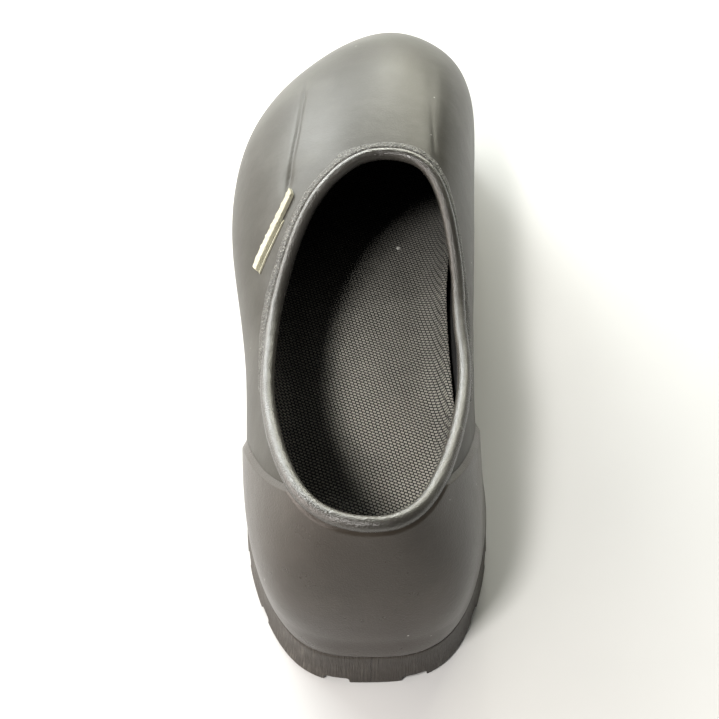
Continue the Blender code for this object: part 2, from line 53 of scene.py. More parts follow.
# Sizes shared with the CAD model, in millimetres; shares, places and levels have no unit
SOLE_LINE = 20.0
TOE_SPRING = 8.3
SPRING_START = 200.0
SPRING_END = 289.0
SPRING_POWER = 2.2
ARCH_RISE = 3.0
ARCH_PLACE = 103.0
ARCH_REACH = 16.0
GAP = 0.3
UPPER_THICK = 3.0
STIFFENER_THICK = 0.8
LINING_THICK = 1.0
PANEL_THICK = 1.3
BEAD_RADIUS = 2.3
BEAD_HEEL_EXTRA = 0.2
BEAD_INSET = 1.0
TRIM_WIDTH = 2.7
TRIM_THICK = 0.8
TREAD_DEPTH = 3.6
CUP_FLOOR = 7.0
CUP_WALL = 4.0
FOAM_THICK = 4.0
COVER_THICK = 0.9
FOOTBED_CLEARANCE = 1.0
CUP_TOE_SHARE = 0.25
CUP_FADE = (165.0, 235.0)
HEEL_INSET = 3.5
HEEL_INSET_FADE = (62.0, 92.0)
WAIST_PLACE = 157.0
WAIST_REACH = 26.0
FLAT_PROFILE = ((0.35, 0.0), (0.66, 0.0), (0.78, 0.5))      # share of the way out, rise
CUP_PROFILE = ((7.0, 4.4, 0.6), (10.0, 2.6, 0.4), (12.6, 1.9, 0.2))     # rise, inset, cover's share of rise
BADGE_PATH = ((0.3765, 0.915), (0.332, 0.88), (0.277, 0.765))       # place and level: front, middle, back
BADGE_WIDTH = 5.5
BADGE_THICK = 1.8
HEEL_FADE = (40.0, 100.0)
LEDGE_OUT = 1.2
LEDGE_HEEL_EXTRA = 2.1
FOOT_OUT = 2.5
FOOT_HEEL_EXTRA = 2.4
HEEL_CENTRE = 42.0
TOE_CENTRE = 236.0

# Sizes of the finished surfaces only, in millimetres
WAIST_INSET = 1.2
UPPER_UNDER_BEAD = 1.2
BEVEL_WIDTH = 3.2
BADGE_BASE = -0.3
BADGE_OVERHANG = 0.3
RAIL_RISE = 0.95

# Control rings of the upper's outer face, from the sole line to the rim. Stations: heel, outer heel, outer
# side, outer waist, outer ball, outer toe, outer toe corner, toe, inner toe, inner ball, inner waist,
# inner side, inner heel.
RINGS = np.array([
    [(-3.5, 6, 20), (19.5, 12, 20), (35.5, 45, 20), (40, 105, 20), (50, 192, 20), (43.5, 239.5, 21),
     (19, 271.5, 25), (-17, 286.5, 28), (-41, 272.5, 25), (-49.5, 234, 21), (-39, 125, 20), (-42.5, 50, 20),
     (-28.5, 13.5, 20)],
    [(-3.5, 3, 42), (28.5, 11.5, 42), (40.5, 45, 42), (45, 105, 40), (57.5, 190, 40), (50, 241, 44),
     (22, 275.5, 52), (-19.5, 291.5, 55), (-47.5, 277.5, 52), (-53.5, 233, 44), (-45.5, 125, 40),
     (-42, 50, 42), (-36.5, 14, 42)],
    [(-2.5, 8, 62), (25, 15.5, 60), (36, 50, 56), (42, 100, 58), (52, 172, 62), (43.5, 224, 68),
     (19, 258, 74), (-17, 275.5, 78), (-39.5, 260, 74), (-47, 210, 66), (-44, 120, 58), (-39, 55, 56),
     (-32.5, 17, 60)],
    [(-2, 15, 76), (20, 23, 74), (32, 55, 66), (35, 98, 66), (37, 150, 72), (31, 191, 82),
     (13, 217, 86), (-13, 228, 88), (-31, 216, 86), (-40, 176, 76), (-39, 110, 68), (-36.5, 62, 68),
     (-24.5, 23, 74)],
    [(-2, 18, 86), (17, 28, 83.5), (28.8, 57, 76), (32, 92, 71), (27.6, 126, 74), (18.7, 149.8, 83.5),
     (5.3, 164, 90.5), (-11, 169.2, 92), (-25.2, 163.4, 90.5), (-34.5, 138.5, 79.5), (-36.2, 103, 71),
     (-33, 60, 75.5), (-20.5, 27, 84)],
])
BULGE_RING = 1
TOE_STATION = 7

# Front edges of the heel panel: places round the upper, at height levels 0 to 1
EDGE_LEVELS = (0.0, 0.35, 0.5, 0.6, 0.7, 0.8, 0.9, 1.0)
EDGE_OUTER = (0.160, 0.138, 0.122, 0.110, 0.098, 0.0855, 0.0725, 0.060)
EDGE_INNER = (0.168, 0.142, 0.125, 0.114, 0.103, 0.091, 0.0785, 0.066)


def closed_spline(points, knots, place):
    """Smooth closed curve through points, at places 0 to 1 round it."""
    count = len(points)
    steps = np.diff(knots)
    matrix = np.zeros((count, count))
    right = np.zeros((count, points.shape[1]))
    for i in range(count):
        before = steps[i - 1]
        after = steps[i]
        matrix[i, (i - 1) % count] += before
        matrix[i, i] += 2.0 * (before + after)
        matrix[i, (i + 1) % count] += after
        slope_after = (points[(i + 1) % count] - points[i]) / after
        slope_before = (points[i] - points[i - 1]) / before
        right[i] = 6.0 * (slope_after - slope_before)
    bend = np.linalg.solve(matrix, right)
    place = np.asarray(place) % 1.0
    i = np.clip(np.searchsorted(knots, place, side="right") - 1, 0, count - 1)
    j = (i + 1) % count
    step = steps[i][..., None]
    ahead = (knots[i + 1] - place)[..., None]
    behind = (place - knots[i])[..., None]
    curve = (bend[i] * ahead ** 3 + bend[j] * behind ** 3) / (6.0 * step)
    curve = curve + (points[i] / step - bend[i] * step / 6.0) * ahead
    return curve + (points[j] / step - bend[j] * step / 6.0) * behind


def station_knots():
    """Places of the stations, by chord length round the widest ring."""
    ring = RINGS[BULGE_RING]
    chords = np.linalg.norm(np.roll(ring, -1, axis=0) - ring, axis=1)
    knots = np.concatenate([[0.0], np.cumsum(chords)])
    return knots / knots[-1]


KNOTS = station_knots()


def surface(place, level):
    """Outer face of the upper, at places round it and height shares 0 to 1."""
    place, level = np.broadcast_arrays(place, level)
    total = np.zeros(place.shape + (3,))
    degree = len(RINGS) - 1
    for k, ring in enumerate(RINGS):
        weight = math.comb(degree, k) * level ** k * (1.0 - level) ** (degree - k)
        total += weight[..., None] * closed_spline(ring, KNOTS, place)
    return total


def outward(place, level):
    """Unit normals of the outer face, pointing out of the shoe."""
    place, level = np.broadcast_arrays(place, level)
    step = 1e-4
    low = np.clip(level - step, 0.0, 1.0)
    high = np.clip(level + step, 0.0, 1.0)
    along = surface(place + step, level) - surface(place - step, level)
    rise = surface(place, high) - surface(place, low)
    normal = np.cross(rise, along)
    return -normal / np.linalg.norm(normal, axis=-1, keepdims=True)


def smooth(value, low, high):
    """0 below low, 1 above high, with a soft turn between."""
    share = np.clip((np.asarray(value) - low) / (high - low), 0.0, 1.0)
    return share * share * (3.0 - 2.0 * share)


def bump_curve(value, centre, width):
    """1 at the centre, falling off smoothly on both sides."""
    return np.exp(-((np.asarray(value) - centre) / width) ** 2)


def spring(t):
    """Rise of the sole line above its height at the heel."""
    share = np.clip((np.asarray(t) - SPRING_START) / (SPRING_END - SPRING_START), 0.0, None)
    return TOE_SPRING * share ** SPRING_POWER


def heel_share(t):
    """1 at the back of the heel, 0 from the waist forwards."""
    return smooth(-np.asarray(t), -HEEL_FADE[1], -HEEL_FADE[0])


def below_rim(place, distance):
    """Place and level of the points a distance below the rim, going square to it."""
    steps = 6
    reach = np.asarray(distance) / steps
    level = np.ones_like(place)
    nudge = 0.002
    for _ in range(steps):
        along = (surface(place + nudge, level) - surface(place - nudge, level)) / (2.0 * nudge)
        rise = (surface(place, level) - surface(place, level - nudge)) / nudge
        length = np.linalg.norm(along, axis=-1)
        skew = (rise * along).sum(axis=-1) / length
        square = np.sqrt((rise ** 2).sum(axis=-1) - skew ** 2)
        level = level - reach / square
        place = place + reach / square * skew / length
    return place, level


def bead_radius(place):
    """Radius of the rolled edge, fuller behind the heel."""
    rim_t = surface(place, np.ones_like(place))[..., 1]
    return BEAD_RADIUS + BEAD_HEEL_EXTRA * heel_share(rim_t)


def frame_shift():
    """Plan shift from the tables to the frame, from the box of the CAD upper."""
    places = np.linspace(0.0, 1.0, 400, endpoint=False)
    levels = np.linspace(0.0, 0.9, 60)
    place, level = np.meshgrid(places, levels)
    points = surface(place, level)
    low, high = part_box("upper_shell")
    x = 0.5 * (points[..., 0].min() + points[..., 0].max()) - 0.5 * (low.x + high.x) / MM
    t = 0.5 * (points[..., 1].min() + points[..., 1].max()) + 0.5 * (low.y + high.y) / MM
    return x, t


SHIFT_X, SHIFT_T = frame_shift()


def to_frame(points):
    """Points of the tables, as points of the frame in metres."""
    points = np.asarray(points, dtype=float)
    out = np.stack([points[..., 0] - SHIFT_X, SHIFT_T - points[..., 1], points[..., 2]], axis=-1)
    return out * MM


def side_places(columns):
    """Places all round the shoe, as many on its outer side as on its inner side."""
    toe = KNOTS[TOE_STATION]
    half = columns // 2
    outer = np.linspace(0.0, toe, half, endpoint=False)
    inner = np.linspace(toe, 1.0, half, endpoint=False)
    return np.concatenate([outer, inner])


# ---------------------------------------------------------------- meshes

def place_mesh(name, points, faces, coordinates=None):
    """Smooth mesh object in the frame, with an optional UV map in metres."""
    world = to_frame(points.reshape(-1, 3))
    mesh = bpy.data.meshes.new(name)
    mesh.from_pydata(world.tolist(), [], faces)
    if coordinates is not None:
        layer = mesh.uv_layers.new(name="surface")
        corner = np.empty(len(mesh.loops), dtype=np.int32)
        mesh.loops.foreach_get("vertex_index", corner)
        pairs = coordinates.reshape(-1, 2)[corner]
        layer.data.foreach_set("uv", pairs.astype(np.float32).ravel())
    solid = bmesh.new()
    solid.from_mesh(mesh)
    bmesh.ops.recalc_face_normals(solid, faces=solid.faces)
    solid.to_mesh(mesh)
    solid.free()
    mesh.polygons.foreach_set("use_smooth", [True] * len(mesh.polygons))
    piece = bpy.data.objects.new(name, mesh)
    bpy.context.scene.collection.objects.link(piece)
    return piece


def grid_faces(rows, columns, closed_rows, closed_columns):
    """Four-sided faces over a grid of points, joined up at the ends where it is closed."""
    r, c = np.meshgrid(
        np.arange(rows if closed_rows else rows - 1),
        np.arange(columns if closed_columns else columns - 1),
        indexing="ij",
    )
    r2 = (r + 1) % rows
    c2 = (c + 1) % columns
    quads = np.stack([r * columns + c, r * columns + c2, r2 * columns + c2, r2 * columns + c], axis=-1)
    return quads.reshape(-1, 4).tolist()


def arc_coordinates(rows):
    """UV in metres for rows of points: distance along each row, and distance across the rows."""
    rows = np.asarray(rows)
    along = np.linalg.norm(np.diff(rows, axis=1), axis=2)
    along = np.concatenate([np.zeros((len(rows), 1)), np.cumsum(along, axis=1)], axis=1)
    along = np.broadcast_to(along.mean(axis=0), rows.shape[:2])
    across = np.linalg.norm(np.diff(rows, axis=0), axis=2)
    across = np.concatenate([np.zeros((1, rows.shape[1])), np.cumsum(across, axis=0)])
    across = np.broadcast_to(across.mean(axis=1)[:, None], rows.shape[:2])
    return np.stack([along, across], axis=-1) * MM


def wall_piece(name, outer, inner, closed):
    """Solid between an outer and an inner grid of points: a full ring, or a patch with two ends."""
    rows = np.concatenate([np.asarray(outer), np.asarray(inner)[::-1]])
    count, columns = rows.shape[:2]
    faces = grid_faces(count, columns, True, closed)
    if not closed:
        for c in (0, columns - 1):
            for r in range(count // 2 - 1):
                faces.append([k * columns + c for k in (r, r + 1, count - 2 - r, count - 1 - r)])
    return place_mesh(name, rows, faces, arc_coordinates(rows))


def stack_piece(name, rings):
    """Solid of closed rings, first and last capped by strips from side to side."""
    rings = np.asarray(rings)
    count, columns = rings.shape[:2]
    faces = grid_faces(count, columns, False, True)
    half = columns // 2
    for base in (0, (count - 1) * columns):
        faces.append([base, base + 1, base + columns - 1])
        for i in range(1, half - 1):
            faces.append([base + i, base + i + 1, base + columns - i - 1, base + columns - i])
        faces.append([base + half - 1, base + half, base + half + 1])
    return place_mesh(name, rings, faces, arc_coordinates(rings))


def wall_grid(columns, shares, offset, margin=0.0):
    """Grid of wall points up to the bead. offset is a number, or a function of (points, share, place)."""
    place = np.linspace(0.0, 1.0, columns, endpoint=False)
    top = below_rim(place, bead_radius(place) + GAP + margin)[1]
    share = np.asarray(shares)[:, None]
    level = share * top[None, :]
    place = np.broadcast_to(place, level.shape)
    points = surface(place, level)
    move = offset(points, share, place) if callable(offset) else offset
    points = points + outward(place, level) * np.broadcast_to(move, level.shape)[..., None]
    points[0, :, 2] = SOLE_LINE + spring(points[0, :, 1])
    return points


def finish_piece(piece, material, slot, *nodes):
    """Material, body and replaced nodes of one piece; the slot name only chooses the body."""
    piece.data.materials.clear()
    piece.data.materials.append(material)
    body = "footbed" if slot.startswith("footbed") else "clog"
    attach(piece, body)
    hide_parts(*nodes)


# ---------------------------------------------------------------- materials

DUST_COLOUR = (0.75, 0.74, 0.7)
LINT_COLOUR = (0.8, 0.8, 0.76)
LINT_PLACE = (-0.0169, -0.0359, 0.0252)     # one speck of lint on the footbed, in metres


def new_material(name):
    """A material, its node tree and its main shader."""
    material = bpy.data.materials.new(name)
    material.use_nodes = True
    tree = material.node_tree
    return material, tree, tree.nodes["Principled BSDF"]


def add(tree, kind, **settings):
    """A node with its properties and unlinked input values set, and other nodes' outputs linked in."""
    node = tree.nodes.new("ShaderNode" + kind)
    for key, value in settings.items():
        if hasattr(node, key) and key not in node.inputs:
            setattr(node, key, value)
            continue
        numbered = key[0] == "i" and key[1:].isdigit()
        socket = node.inputs[int(key[1:])] if numbered else node.inputs[key]
        if isinstance(value, bpy.types.NodeSocket):
            tree.links.new(value, socket)
        else:
            socket.default_value = value
    return node


def math_node(tree, operation, first, second=0.0):
    return add(tree, "Math", operation=operation, i0=first, i1=second).outputs[0]


def multiply(tree, first, second):
    return math_node(tree, "MULTIPLY", first, second)


def uneven_roughness(tree, value, spread, lowest):
    """Roughness that rises with a noise value, over a spread above its lowest."""
    return math_node(tree, "ADD", multiply(tree, value, spread), lowest)


def noise(tree, vector, scale, detail=3.0, rough=0.5, stretch=None):
    if stretch is not None:
        vector = add(tree, "Mapping", Vector=vector, Scale=stretch).outputs[0]
    node = add(tree, "TexNoise", Vector=vector, Scale=scale, Detail=detail, Roughness=rough)
    return node.outputs["Fac"]


def remap(tree, value, low, high, to_low=0.0, to_high=1.0):
    """Smooth step of a value between two levels."""
    node = tree.nodes.new("ShaderNodeMapRange")
    node.interpolation_type = "SMOOTHSTEP"
    tree.links.new(value, node.inputs["Value"])
    levels = {"From Min": low, "From Max": high, "To Min": to_low, "To Max": to_high}
    for key, level in levels.items():
        node.inputs[key].default_value = level
    return node.outputs["Result"]


def blend_colours(tree, share, first, second):
    node = tree.nodes.new("ShaderNodeMix")
    node.data_type = "RGBA"
    tree.links.new(share, node.inputs["Factor"])
    for socket, value in ((node.inputs[6], first), (node.inputs[7], second)):
        if isinstance(value, bpy.types.NodeSocket):
            tree.links.new(value, socket)
        else:
            socket.default_value = (*value, 1.0)
    return node.outputs[2]


def bump(tree, height, distance, strength=1.0, below=None):
    node = add(tree, "Bump", Height=height, Distance=distance, Strength=strength)
    if below is not None:
        tree.links.new(below, node.inputs["Normal"])
    return node.outputs[0]


def dust_dots(tree, place, amount):
    """Sparse round specks of dust, gathered in patches."""
    cells = add(tree, "TexVoronoi", Vector=place, Scale=170.0, Randomness=1.0)
    dot = remap(tree, cells.outputs["Distance"], 0.07, 0.04)
    chance = remap(tree, noise(tree, place, 60.0, 1.0), 0.6, 0.68)
    return multiply(tree, multiply(tree, dot, chance), amount)


def rubber(name, base, bloom, roughness, grain, bloom_share=0.5, dust=0.0, stipple=0.25, gloss=0.2):
    """Moulded rubber: uneven bloom over a dark body, fine mould grain, soft waves, and a little dust."""
    material, tree, shader = new_material(name)
    place = add(tree, "TexCoord").outputs["Object"]
    cloud = noise(tree, place, 28.0, 4.0, 0.55)
    patch = noise(tree, place, 95.0, 5.0, 0.65)
    mixed = math_node(tree, "ADD", multiply(tree, cloud, 0.65), multiply(tree, patch, 0.35))
    share = multiply(tree, remap(tree, mixed, 0.42, 0.66), bloom_share)
    colour = blend_colours(tree, share, base, bloom)
    speck = noise(tree, place, 2000.0, 2.0, 0.5)
    share = multiply(tree, remap(tree, speck, 0.55, 0.72), stipple)
    colour = blend_colours(tree, share, colour, bloom)
    rough = uneven_roughness(tree, patch, 0.16, roughness - 0.08)
    if dust > 0.0:
        colour = blend_colours(tree, dust_dots(tree, place, dust), colour, DUST_COLOUR)
    shader.inputs["Specular IOR Level"].default_value = gloss
    tree.links.new(colour, shader.inputs["Base Color"])
    tree.links.new(rough, shader.inputs["Roughness"])
    fine = noise(tree, place, 1700.0, 2.0, 0.6)
    waves = noise(tree, place, 120.0, 3.0, 0.5)
    normal = bump(tree, waves, 0.0004, 0.35)
    normal = bump(tree, fine, 0.00005 * grain, 1.0, normal)
    tree.links.new(normal, shader.inputs["Normal"])
    return material


def fabric(name, dark, light, pitch, depth, roughness, sheen, turn=0.0, crown_shade=(1.0, 1.0)):
    """Coarse weave: rows of short raised yarns, each row shifted by half a yarn, lighter on their crowns.

    pitch is the distance between rows in metres. The toe and heel pair at the end gives how strongly the
    crowns show towards the toe and towards the heel: painted shade, dimming the crowns towards the toe
    where the footbed lies in the shade of the toe box.
    """
    material, tree, shader = new_material(name)
    place = add(tree, "TexCoord").outputs["Object"]
    wobble = add(tree, "TexNoise", Vector=place, Scale=70.0, Detail=2.0).outputs["Color"]
    shift = add(tree, "VectorMath", operation="SCALE", i0=wobble, Scale=pitch * 0.9).outputs[0]
    moved = add(tree, "VectorMath", operation="ADD", i0=place, i1=shift).outputs[0]
    cells = add(tree, "Mapping", Vector=moved, Rotation=(0.0, 0.0, turn), Scale=(1.0 / pitch,) * 3)
    cells = cells.outputs[0]
    yarns = add(tree, "TexBrick", Vector=cells, Scale=1.0, offset=0.5, offset_frequency=2, squash=1.0)
    yarn_shape = {"Mortar Size": 0.24, "Mortar Smooth": 1.0, "Brick Width": 1.45, "Row Height": 1.0}
    for key, value in yarn_shape.items():
        yarns.inputs[key].default_value = value
    crown = math_node(tree, "SUBTRACT", 1.0, yarns.outputs["Fac"])
    fibre = noise(tree, place, 3600.0, 2.0, 0.7)
    height = math_node(tree, "ADD", crown, multiply(tree, fibre, 0.5))
    length = add(tree, "SeparateXYZ", Vector=place).outputs["Y"]
    # The crowns are dimmed at random in patches, as wear, and dimmed towards the toe as painted shade from
    # the toe box.
    wear_and_shade = remap(tree, noise(tree, place, 30.0, 3.0, 0.6), 0.3, 0.7, 0.7, 1.0)
    wear_and_shade = multiply(tree, wear_and_shade, remap(tree, length, -0.055, 0.03, crown_shade[0], crown_shade[1]))
    top = multiply(tree, remap(tree, height, 0.85, 1.25), wear_and_shade)
    colour = blend_colours(tree, top, dark, light)
    away = add(tree, "VectorMath", operation="DISTANCE", i0=place, i1=LINT_PLACE).outputs["Value"]
    colour = blend_colours(tree, remap(tree, away, 0.0011, 0.0006), colour, LINT_COLOUR)
    tree.links.new(colour, shader.inputs["Base Color"])
    shader.inputs["Roughness"].default_value = roughness
    shader.inputs["Sheen Weight"].default_value = sheen
    shader.inputs["Sheen Roughness"].default_value = 0.5
    shader.inputs["Specular IOR Level"].default_value = 0.2
    tree.links.new(bump(tree, height, depth, 0.9), shader.inputs["Normal"])
    return material


def plain_stuff(name, base, second, scale, roughness, metallic=0.0, depth=0.0001, stretch=None):
    """Uneven matt or metal stuff for the pieces inside the shoe."""
    material, tree, shader = new_material(name)
    place = add(tree, "TexCoord").outputs["Object"]
    value = noise(tree, place, scale, 4.0, 0.6, stretch)
    colour = blend_colours(tree, remap(tree, value, 0.35, 0.65), base, second)
    tree.links.new(colour, shader.inputs["Base Color"])
    rough = uneven_roughness(tree, value, 0.2, roughness - 0.1)
    tree.links.new(rough, shader.inputs["Roughness"])
    shader.inputs["Metallic"].default_value = metallic
    tree.links.new(bump(tree, value, depth, 0.6), shader.inputs["Normal"])
    return material


def sole_rubber():
    """Sole rubber with fine upright ribs, whose crests are painted lighter in patches: partly dust, partly
    painted highlight.
    """
    material, tree, shader = new_material("sole_rubber_look")
    place = add(tree, "TexCoord").outputs["Object"]
    wall = add(tree, "UVMap", uv_map="surface").outputs["UV"]
    streak = noise(tree, wall, 1.0, 3.0, 0.6, stretch=(1500.0, 90.0, 1.0))
    # Lighter rib crests in patches: partly dust, partly a painted highlight along the ribs.
    dust_and_highlight_patches = remap(tree, noise(tree, place, 40.0, 4.0, 0.6), 0.4, 0.68, 0.0, 0.7)
    lit = multiply(tree, dust_and_highlight_patches, remap(tree, streak, 0.45, 0.7))
    colour = blend_colours(tree, lit, (0.042, 0.035, 0.028), (0.15, 0.135, 0.115))
    tree.links.new(colour, shader.inputs["Base Color"])
    rough = uneven_roughness(tree, noise(tree, place, 300.0, 2.0, 0.5), 0.2, 0.48)
    tree.links.new(rough, shader.inputs["Roughness"])
    normal = bump(tree, streak, 0.0006, 1.0)
    normal = bump(tree, noise(tree, place, 2200.0, 2.0, 0.6), 0.00006, 1.0, normal)
    tree.links.new(normal, shader.inputs["Normal"])
    return material


UPPER_LOOK = rubber(
    "upper_rubber_look", (0.042, 0.039, 0.032), (0.10, 0.098, 0.086),
    roughness=0.40, grain=1.0, bloom_share=0.5, dust=0.5)
PANEL_LOOK = rubber(
    "panel_rubber_look", (0.036, 0.029, 0.022), (0.07, 0.059, 0.048),
    roughness=0.30, grain=2.0, bloom_share=0.35, dust=0.8, gloss=0.45)
BEAD_LOOK = rubber(
    "bead_rubber_look", (0.045, 0.042, 0.036), (0.13, 0.125, 0.11),
    roughness=0.24, grain=5.0, bloom_share=0.2, stipple=0.3, gloss=0.8)
TRIM_LOOK = rubber(
    "trim_rubber_look", (0.040, 0.038, 0.032), (0.36, 0.345, 0.31),
    roughness=0.32, grain=12.0, bloom_share=0.15, stipple=0.9, gloss=0.5)
SOLE_LOOK = sole_rubber()
# Footbed weave with painted shade: its crowns are dimmed towards the toe.
WEAVE_LOOK = fabric(
    "footbed_weave_look", (0.009, 0.009, 0.008), (0.68, 0.66, 0.59),
    pitch=0.00115, depth=0.0005, roughness=0.8, sheen=0.1, turn=0.39, crown_shade=(0.2, 1.0))
LINING_LOOK = fabric(
    "lining_look", (0.010, 0.010, 0.011), (0.04, 0.04, 0.041),
    pitch=0.0008, depth=0.0002, roughness=0.9, sheen=0.05)
FOAM_LOOK = plain_stuff(
    "footbed_foam_look", (0.035, 0.035, 0.04), (0.07, 0.07, 0.075),
    scale=900.0, roughness=0.9, depth=0.0003)
BADGE_LOOK = rubber(
    "badge_look", (0.62, 0.60, 0.47), (0.30, 0.28, 0.18), roughness=0.5, grain=14.0, bloom_share=0.4)
BOARD_LOOK = plain_stuff(
    "insole_board_look", (0.42, 0.36, 0.27), (0.3, 0.25, 0.18), scale=260.0, roughness=0.85)
MIDSOLE_LOOK = plain_stuff(
    "midsole_look", (0.2, 0.2, 0.2), (0.13, 0.13, 0.13), scale=1100.0, roughness=0.9, depth=0.0002)
FELT_LOOK = plain_stuff(
    "stiffener_look", (0.36, 0.33, 0.28), (0.25, 0.23, 0.19), scale=700.0, roughness=0.8, depth=0.0002)
STEEL_LOOK = plain_stuff(
    "shank_look", (0.55, 0.55, 0.57), (0.42, 0.42, 0.44),
    scale=160.0, roughness=0.35, metallic=1.0, depth=0.00002, stretch=(1.0, 14.0, 14.0))
FLOOR_LOOK = plain_stuff(
    "floor_look", (0.76, 0.76, 0.76), (0.74, 0.74, 0.74), scale=6.0, roughness=0.8, depth=0.0)

# ---------------------------------------------------------------- upper and its layers

WALL_COLUMNS = 880
WALL_SHARES = np.linspace(0.0, 1.0, 100)
LINING_COLUMNS = 320

# Lines of the two toe creases, as (T, X)
OUTER_CREASE = ((150.0, 28.6), (165.0, 27.4), (174.0, 26.6), (193.0, 24.6), (224.0, 22.7))
INNER_CREASE = ((155.0, -31.1), (169.0, -29.6), (173.0, -28.3), (198.0, -28.1), (228.0, -29.9))


def ripple(points):
    """Slow unevenness of a moulded skin, at most 0.17 mm."""
    x, t, z = points[..., 0], points[..., 1], points[..., 2]
    slow = np.sin(x / 9.5 + t / 31.0) * np.sin(t / 23.0 - z / 17.0)
    quick = np.sin(x / 5.1 - z / 7.3 + 1.0) * np.sin(t / 11.0 + 2.0)
    return 0.12 * slow + 0.05 * quick


def crease_relief(points):
    """The two soft creases that run forward over the toe from beside the collar."""
    x, t, z = points[..., 0], points[..., 1], points[..., 2]
    top = smooth(z, 50.0, 62.0)
    line = np.interp(t, *np.array(OUTER_CREASE).T)
    aside = x - line
    reach = smooth(t, 151.0, 164.0) * (1.0 - smooth(t, 214.0, 231.0)) * top
    raised = 0.25 * smooth(aside, -0.7, 0.7) * np.exp(-(np.maximum(aside, 0.0) / 9.0) ** 2)
    dimple = -0.5 * bump_curve(aside, -0.4, 2.2) * bump_curve(t, 168.0, 6.0)
    groove = -0.55 * bump_curve(aside, -0.5, 0.55) - 0.2 * bump_curve(aside, -4.0, 5.0) + dimple
    relief = reach * (raised + groove)
    line = np.interp(t, *np.array(INNER_CREASE).T)
    aside = x - line
    reach = smooth(t, 158.0, 170.0) * (1.0 - smooth(t, 222.0, 242.0)) * top
    crisp = bump_curve(t, 180.0, 16.0)
    groove = -0.15 * bump_curve(aside, 0.0, 2.6) - 0.14 * crisp * bump_curve(aside, 0.0, 0.8)
    raised = 0.06 * bump_curve(aside, -7.0, 5.0)
    return relief + reach * (groove + raised)


def upper_offset(points, share, place):
    """Distance of the finished face outside the plain one."""
    return ripple(points) + crease_relief(points)


def build_upper():
    """Moulded upper, which runs a little way in under the rolled edge."""
    outer = wall_grid(WALL_COLUMNS, WALL_SHARES, upper_offset, -UPPER_UNDER_BEAD)
    inner = wall_grid(WALL_COLUMNS, WALL_SHARES, -UPPER_THICK, -UPPER_UNDER_BEAD)
    piece = wall_piece("rubber_upper", outer, inner, True)
    finish_piece(piece, UPPER_LOOK, "upper_rubber", "upper_shell")


def build_lining():
    """Cloth lining, drawn out to the shell under the rolled edge."""
    start = UPPER_THICK + STIFFENER_THICK + 2.0 * GAP
    close = UPPER_THICK + 0.1

    def outer_offset(points, share, place):
        pull = smooth(share, 0.8, 0.93)
        return -(start + (close - start) * pull) * np.ones_like(place)

    def inner_offset(points, share, place):
        return outer_offset(points, share, place) - LINING_THICK

    shares = np.linspace(0.0, 1.0, 48)
    outer = wall_grid(LINING_COLUMNS, shares, outer_offset)
    inner = wall_grid(LINING_COLUMNS, shares, inner_offset)
    piece = wall_piece("cloth_lining", outer, inner, True)
    finish_piece(piece, LINING_LOOK, "lining_cloth", "lining")


def edge_places(level):
    """Front edges of the heel panel at each level, eased between the listed levels."""
    outer = np.zeros_like(level)
    inner = np.zeros_like(level)
    nudges = np.linspace(-0.07, 0.07, 9)
    for nudge in nudges:
        outer += np.interp(level + nudge, EDGE_LEVELS, EDGE_OUTER) / len(nudges)
        inner += np.interp(level + nudge, EDGE_LEVELS, EDGE_INNER) / len(nudges)
    return outer, inner


def build_heel_panel():
    """Raised heel overlay, with a flat bevel down to the upper along its two front edges.

    It is thickest at its crest, draws in under the rolled edge, and spreads to the sole's ledge.
    """
    lip = 0.6
    edge_thick = 0.08
    full_thick = PANEL_THICK + GAP
    clear = 0.03
    crispness = 20
    rim_share = 0.45
    ledge_inset = 0.35
    flare_height = 13.0
    spread = np.linspace(-1.0, 1.0, 421)
    spread = np.sign(spread) * (1.0 - (1.0 - np.abs(spread)) ** 1.5)
    share = np.linspace(0.0, 1.0, 120)[:, None]
    share = 1.0 - (1.0 - share) ** 1.3
    top = below_rim(spread * EDGE_OUTER[-1], np.full(spread.shape, lip))[1]
    level = share * top[None, :]
    outer_edge, inner_edge = edge_places(level)
    edge = np.where(spread >= 0.0, outer_edge, inner_edge)
    place = spread * edge
    points = surface(place, level)
    nudge = 0.002
    along = surface(place + nudge, level) - surface(place - nudge, level)
    speed = np.linalg.norm(along, axis=-1) / (2.0 * nudge)
    ramp = (1.0 - np.abs(spread)) * edge * speed / BEVEL_WIDTH
    ramp = ramp / (1.0 + ramp ** crispness) ** (1.0 / crispness)
    below = np.linalg.norm(points - points[-1:], axis=-1) + lip
    roll = smooth(below, lip - 0.8, lip + 2.4)
    thick = edge_thick + (full_thick - edge_thick) * ramp * (rim_share + (1.0 - rim_share) * roll)
    ledge = LEDGE_OUT + LEDGE_HEEL_EXTRA * heel_share(points[..., 1])
    flare = np.maximum(ledge - ledge_inset - full_thick, 0.0)
    low_down = smooth(-points[..., 2], -SOLE_LINE - flare_height, -SOLE_LINE)
    thick = thick + flare * ramp * low_down
    normal = outward(place, level)
    outer = points + normal * (thick + ripple(points))[..., None]
    inner = points + normal * (clear + np.minimum(ripple(points), 0.0))[..., None]
    for rows in (outer, inner):
        rows[0, :, 2] = SOLE_LINE
    piece = wall_piece("rubber_heel_panel", outer, inner, False)
    finish_piece(piece, PANEL_LOOK, "panel_rubber", "heel_panel")


